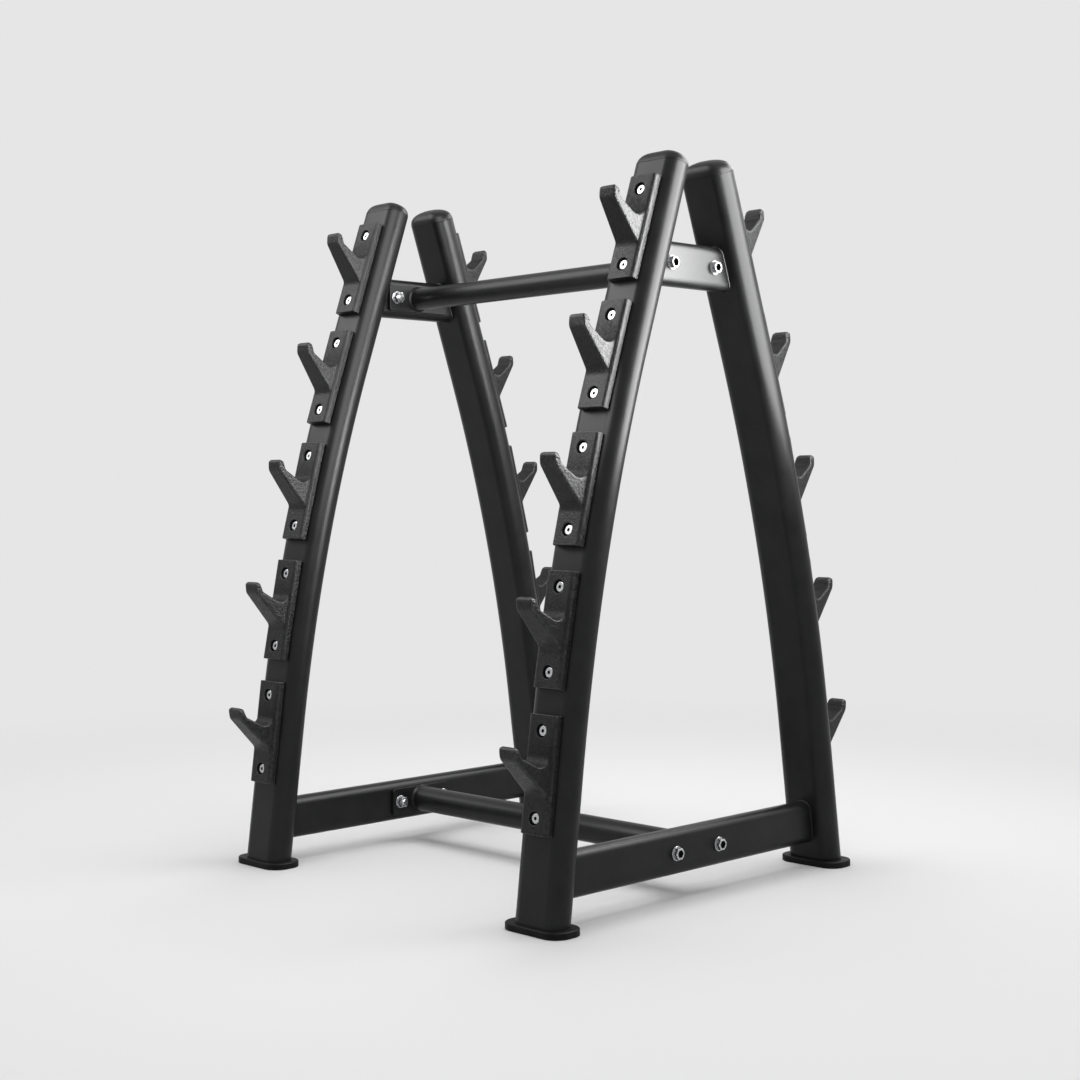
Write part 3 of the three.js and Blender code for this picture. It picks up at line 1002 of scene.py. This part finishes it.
class Pencil:
    """Draws an outline of edges in a plane, whose two directions are right and up."""

    def __init__(self, name, zero, right, up, start):
        self.zero, self.right, self.up = Vector(zero), Vector(right), Vector(up)
        self.place = start
        bpy.ops.object.select_all(action="DESELECT")
        bpy.ops.mesh.primitive_plane_add(size=arc_step)
        self.piece = bpy.context.object
        self.piece.name = name
        bpy.ops.object.mode_set(mode="EDIT")
        bpy.ops.mesh.select_mode(type="VERT")
        bpy.ops.mesh.select_all(action="SELECT")
        bpy.ops.mesh.merge(type="CENTER")
        bpy.ops.transform.translate(value=self.at(start))

    def at(self, point):
        return self.zero + self.right * point.x + self.up * point.y

    def line(self, point):
        extrude(self.at(point) - self.at(self.place))
        self.place = point

    def arc(self, centre, angle):
        """Turns about a centre; a positive angle turns from right to up."""
        arm = self.place - centre
        steps = math.ceil(abs(angle) * arm.length / arc_step)
        axis = self.up.cross(self.right)
        bpy.ops.mesh.spin(steps=steps, angle=angle, center=self.at(centre), axis=axis)
        self.place = centre + Matrix.Rotation(angle, 2) @ arm

    def corner(self, slope, through, next_slope, radius):
        """Runs on at a slope and rounds into the line through a point at the next slope."""
        first, second = heading(slope), heading(next_slope)
        run = (through - self.place).cross(second) / first.cross(second)
        turn = next_slope - slope
        start = self.place + first * (run - radius * math.tan(turn / 2))
        self.line(start)
        self.arc(start + radius * heading(slope + math.pi / 2), turn)

    def fill(self, thickness):
        """Closes the outline with a face and gives it a thickness."""
        bpy.ops.mesh.select_all(action="SELECT")
        bpy.ops.mesh.edge_face_add()
        extrude(thickness)
        finish_editing()


# %% [markdown]
# From the side, the underside leaves the plate at the root fillet and climbs at the arm's
# slope to the knee, where it turns up into the outer face of the tip. Behind the lip the
# cradle falls steeply, bends, runs down the arm and rises to the plate. Only the right
# half of the hook is drawn, and it is mirrored later.

# %% Draw the arm from the side
hook_length = 0.220
hook_width = 0.070
hook_thickness = 0.017
hook_edge_round = 0.008
root_height = 0.063
root_round = 0.020
arm_slope = math.radians(37.5)
arm_reach = 0.1025
arm_top = 0.1585
knee_round = 0.014
tip_lean = math.radians(70)
tip_round = 0.007
tip_thickness = 0.014
lip_drop = 0.0025
lip_lean = math.radians(64)
cradle_bend_round = 0.010
cradle_slope = math.radians(20)
cradle_floor = 0.1255
cradle_back_round = 0.020

inside = hook_thickness / 2
quarter = math.pi / 2
tip_corner = Vector((arm_reach - tip_round, arm_top - tip_round))
on_tip = tip_corner + tip_round * heading(tip_lean - quarter)
cradle_back = Vector((hook_thickness + cradle_back_round, cradle_floor + cradle_back_round))
on_arm = cradle_back + cradle_back_round * heading(cradle_slope - quarter)

profile = Pencil(
    "arm", (0, 0, -hook_length / 2), (0, -1, 0), (0, 0, 1), Vector((inside, root_height)))
profile.line(Vector((hook_thickness, root_height)))
profile.arc(Vector((hook_thickness + root_round, root_height)), arm_slope - quarter)
profile.corner(arm_slope, on_tip, tip_lean, knee_round)
profile.line(on_tip)
profile.arc(tip_corner, math.pi - tip_lean)
profile.line(Vector((arm_reach - tip_thickness, arm_top - lip_drop)))
profile.corner(lip_lean, on_arm, cradle_slope, cradle_bend_round)
profile.line(on_arm)
profile.arc(cradle_back, -quarter - cradle_slope)
profile.line(Vector((inside, cradle_back.y)))
profile.fill((hook_width, 0, 0))
arm = profile.piece
print("arm from the side", [round(n, 4) for n in arm.dimensions])

# %% [markdown]
# From above, the arm's flank runs straight from the tip and flares out near the plate, so
# that it flows into the plate's side instead of standing on its face. The flare leaves the
# flank a share of its own length before the plate.

# %% Draw the arm from above
arm_root_width = 0.058
arm_tip_width = 0.041
flare_round = 0.022
flare_width = 0.0685
flare_share = 0.4
tip_plan_round = 0.006

narrowing = math.atan2((arm_root_width - arm_tip_width) / 2, arm_reach - hook_thickness)
flank = quarter + narrowing
flank_root = Vector((arm_root_width / 2, hook_thickness))
flare_turn = math.acos(1 - (flare_width / 2 - arm_root_width / 2) / flare_round)
flare_end = flank_root + heading(flank) * (flare_round * math.sin(flare_turn) * flare_share)
flare_centre = flare_end + flare_round * heading(narrowing)
flare_start = flare_centre + Matrix.Rotation(flare_turn, 2) @ (flare_end - flare_centre)

plan = Pencil("plan", (0, 0, -hook_length), (1, 0, 0), (0, -1, 0), Vector((0, 0)))
plan.line(Vector((flare_start.x, 0)))
plan.line(flare_start)
plan.arc(flare_centre, -flare_turn)
plan.corner(flank, Vector((0, arm_reach)), math.pi, tip_plan_round)
plan.line(Vector((0, arm_reach)))
plan.fill((0, 0, 2 * hook_length))
cut(arm, plan.piece, "INTERSECT")

# %% [markdown]
# Seen from the front, the tip's two upper corners are rounded.

# %% Draw the tip from the front
tip_front_round = 0.008
tip_half_width = 0.0207
tip_foot = 0.148

front = Pencil(
    "front", (0, hook_width, -hook_length / 2), (1, 0, 0), (0, 0, 1), Vector((0, 0)))
for point in ((hook_width, 0), (hook_width, tip_foot), (tip_half_width, tip_foot)):
    front.line(Vector(point))
front.corner(quarter, Vector((0, arm_top)), math.pi, tip_front_round)
front.line(Vector((0, arm_top)))
front.fill((0, -hook_length, 0))
cut(arm, front.piece, "INTERSECT")

# %% Mirror the arm and round its edges
arm_edge_round = 0.0035
sharp_edge = math.radians(50)


def on_middle(face):
    return abs(face.normal.x) > parallel and abs(face.calc_center_median().x) < touching


only(arm)
bpy.ops.object.mode_set(mode="EDIT")
pick("faces", on_middle)
bpy.ops.mesh.delete(type="ONLY_FACE")
bpy.ops.object.mode_set(mode="OBJECT")
modify(arm, "MIRROR", use_clip=True, merge_threshold=touching)
bpy.ops.object.mode_set(mode="EDIT")
finish_editing()
modify(arm, "BEVEL", width=arm_edge_round, segments=3, limit_method="ANGLE",
       angle_limit=sharp_edge, use_clamp_overlap=False)
print("arm", [round(n, 4) for n in arm.dimensions])

# %% [markdown]
# The plate is a block with its two long front edges rounded. The screws sit in round
# recesses near its ends, deep enough that a bar never rubs on them.

# %% Model the plate and its recesses
screw_spacing = 0.160
recess_radius = 0.0130
recess_depth = 0.010

plate = block("plate", (0, -hook_thickness / 2, 0), (hook_width, hook_thickness, hook_length))
pick("edges", edge_runs((0, 0, 1), lambda middle: middle.y < -hook_thickness / 2))
round_off(hook_edge_round, segments=10)
finish_editing()

facing_out = Matrix.Rotation(math.pi / 2, 4, "X")
recess_floor = hook_thickness - recess_depth
for side in (-1, 1):
    bit = turned("bit", [(recess_floor, recess_radius), (2 * hook_thickness, recess_radius)])
    bit.matrix_world = Matrix.Translation((0, 0, side * screw_spacing / 2)) @ facing_out
    only(bit)
    settle()
    cut(plate, bit, "DIFFERENCE")
print("plate", [round(n, 4) for n in plate.dimensions])

# %% Fuse and soften the hook
voxel = 0.0010
soften_steps = 10
kept_share = 0.14

hook = joined("hook master", plate, arm)
modify(hook, "REMESH", mode="VOXEL", voxel_size=voxel)
modify(hook, "SMOOTH", factor=0.5, iterations=soften_steps)
modify(hook, "DECIMATE", ratio=kept_share)
only(hook)
bpy.ops.object.shade_smooth()
print("hook faces:", len(hook.data.polygons), [round(n, 4) for n in hook.dimensions])

# %% [markdown]
# The cradle's walls and floor are painted black as painted shade, and made dull where bars
# come and go. Every outer edge is painted pale, partly as wear and partly as a painted
# highlight. The mesh carries both as numbers on its points, which the hook plastic reads.
# The cradle's mark fades with the distance from a point above the cradle, and the flanks of
# the arm are left out. The edge mark is how sharply the surface bends outwards.

# %% Mark the cradle's painted shade and the pale edges
above_cradle = Vector((0.045, 0.150))
shade_and_rub_from = 0.033
shade_and_rub_to = 0.045
flank_fade = 0.5
full_edge_bend = 0.15

seat = profile.at(above_cradle)
rubbed = hook.data.attributes.new("rubbed", "FLOAT", "POINT")
for point, value in zip(hook.data.vertices, rubbed.data):
    distance = math.hypot(point.co.y - seat.y, point.co.z - seat.z)
    near = min(max((shade_and_rub_to - distance) / (shade_and_rub_to - shade_and_rub_from), 0.0), 1.0)
    value.value = near * (1.0 - abs(point.normal.x)) ** flank_fade

mesh = bmesh.new()
mesh.from_mesh(hook.data)
bends = [
    sum(edge.calc_face_angle_signed(0) for edge in point.link_edges) / len(point.link_edges)
    for point in mesh.verts]
mesh.free()
# Pale edges: partly wear, partly a painted highlight where an edge would catch the light.
worn = hook.data.attributes.new("worn", "FLOAT", "POINT")
for bend, value in zip(bends, worn.data):
    value.value = min(max(bend / full_edge_bend, 0.0), 1.0)
print("worn points:", sum(bend > full_edge_bend for bend in bends), "of", len(bends))

# %% Place the hooks
tiers = 5
lowest_hook = 0.176
top_hook_margin = 0.039
hook_pitch = (tube_length - top_hook_margin - hook_length - lowest_hook) / (tiers - 1)
hook_places = [
    on_line(lowest_hook + hook_length / 2 + tier * hook_pitch, tube_depth / 2 + seat_gap)
    for tier in range(tiers)]
for number, place in enumerate(hook_places, start=1):
    for end, side in legs:
        node = f"hook_{end}_{side}_{number}"
        put_copy(hook, f"moulded_{node}", turn_to(end, side) @ place, "hook_plastic", node)
discard(hook)
print("hook pitch:", round(hook_pitch, 4), "m")

# %% [markdown]
# ## Hook screws
#
# Two button-head screws with a hexagon socket hold each hook. They are zinc plated, and
# against the dark plastic they are the brightest points of the rack. The head is a turned
# dome, and the socket is cut with a six-sided bit.

# %% Model the screw
screw_radius = 0.0112
screw_height = 0.0055
screw_rim = 0.0015
screw_edge = 0.0003
screw_flat = 0.0084
socket_flats = 0.0068
socket_depth = 0.0036
dome_steps = 8

dome = [(0.0, screw_radius - screw_edge), (screw_edge, screw_radius), (screw_rim, screw_radius)]
for step in range(1, dome_steps + 1):
    turn = math.pi / 2 * step / dome_steps
    rise = (screw_height - screw_rim) * math.sin(turn)
    dome.append((screw_rim + rise, screw_flat + (screw_radius - screw_flat) * math.cos(turn)))
screw = turned("screw master", dome)
socket_radius = socket_flats / 2 / math.cos(math.pi / 6)
socket_rings = [
    (screw_height - socket_depth, socket_radius), (screw_height + overshoot, socket_radius)]
cut(screw, turned("socket", socket_rings, sides=6), "DIFFERENCE")
shade(screw, crisp)
mark_socket_shade(screw, socket_radius, screw_height)

# %% Place the screws
for number, hook_place in enumerate(hook_places, start=1):
    for end_of_plate, shift in (("lower", -screw_spacing / 2), ("upper", screw_spacing / 2)):
        place = hook_place @ Matrix.Translation((0, -recess_floor, shift)) @ facing_out
        for end, side in legs:
            name = f"hook_screw_{end}_{side}_{number}_{end_of_plate}"
            put_copy(screw, name, turn_to(end, side) @ place, "zinc_plate")
print("screw faces:", len(screw.data.polygons))
discard(screw)

# %% [markdown]
# ## Share out the near light
#
# The two softboxes close to the right end stand at the same place and share the work. The
# strong one draws the pale cross tube and hook sides. It would bleach the right end's
# uprights and back hooks when they are seen from behind, and turn the bolts plain white. A
# lamp can be given a collection of the pieces that it leaves out, or of the only ones that
# it lights, so the bleached pieces are handed over to the soft softbox. The bolts and the
# screws of those hooks mirror the room and the other softboxes.

# %% Say what each near softbox lights
def link_light(lamp_name, link_state, *starts):
    """Includes or excludes the pieces whose names start so from what a lamp lights."""
    pieces = bpy.data.collections.new(f"Pieces of the {lamp_name}")
    for piece in list(bpy.data.objects):
        if piece.name.startswith(starts):
            pieces.objects.link(piece)
    for entry in pieces.collection_objects:
        entry.light_linking.link_state = link_state
    bpy.data.objects[lamp_name].light_linking.receiver_collection = pieces


bleached = ("tube_right", "domed_cap_right", "moulded_hook_right_back")
link_light("Soft right streak", "INCLUDE", *bleached)
link_light("Right streak", "EXCLUDE", *bleached, "hook_screw_right_back", "hex_")
